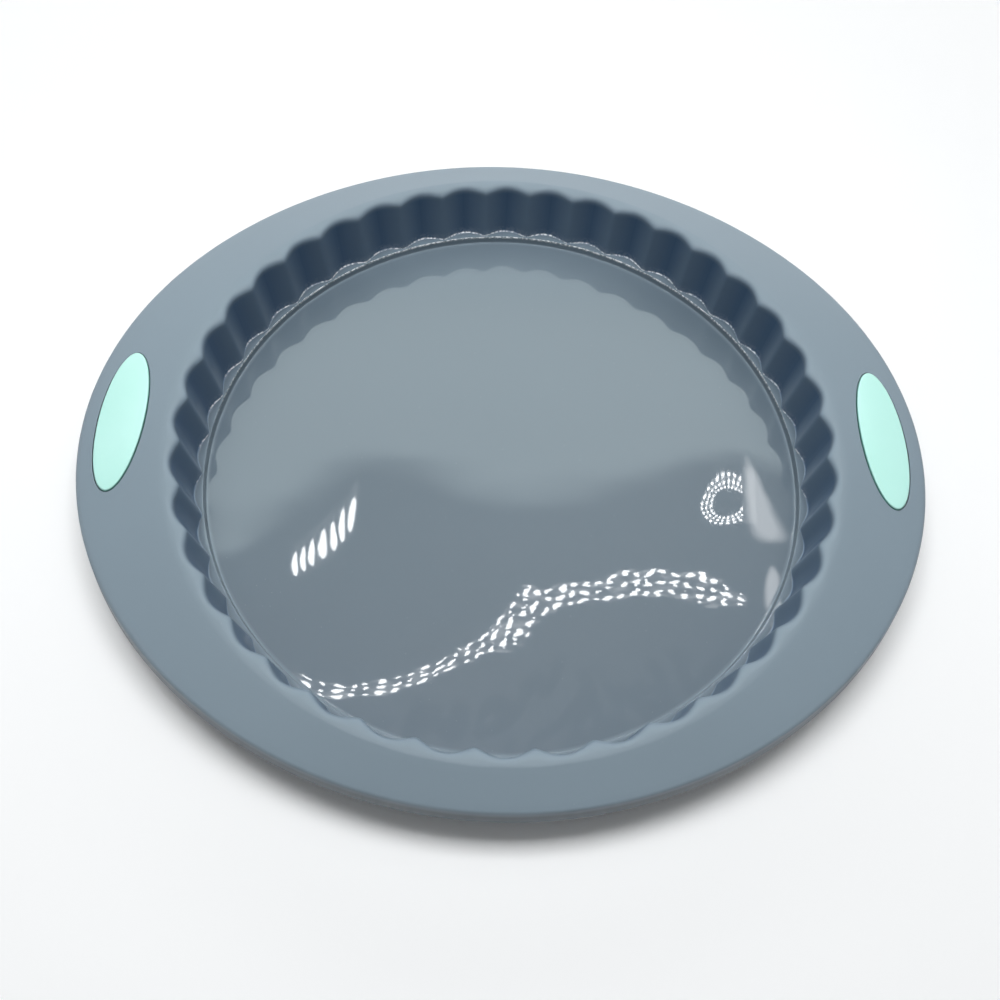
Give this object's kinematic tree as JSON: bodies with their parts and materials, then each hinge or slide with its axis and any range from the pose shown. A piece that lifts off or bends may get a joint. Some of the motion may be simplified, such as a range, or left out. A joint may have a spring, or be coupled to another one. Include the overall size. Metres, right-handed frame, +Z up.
{
  "type": "silicone tart pan",
  "caption": "Round fluted silicone tart pan with a recessed floor and a wide oval rim, stiffened by a steel ring inside it, with inlaid oval grips at the ends.",
  "frame": {"origin": "centre of the underside, on the surface that the pan stands on", "axes": "+X through the right-hand grip, +Y towards the far side of the rim, +Z up out of the cup"},
  "size_m": [0.3186, 0.2824, 0.03],
  "materials": {
    "grey_silicone": "satin on the rim, glossy inside the cup",
    "mint_silicone": "satin",
    "steel": "drawn wire"
  },
  "bodies": {
    "root": {"pan_body": "grey_silicone", "rim_wire": "steel", "grip_left": "mint_silicone", "grip_right": "mint_silicone"}
  },
  "joints": []
}
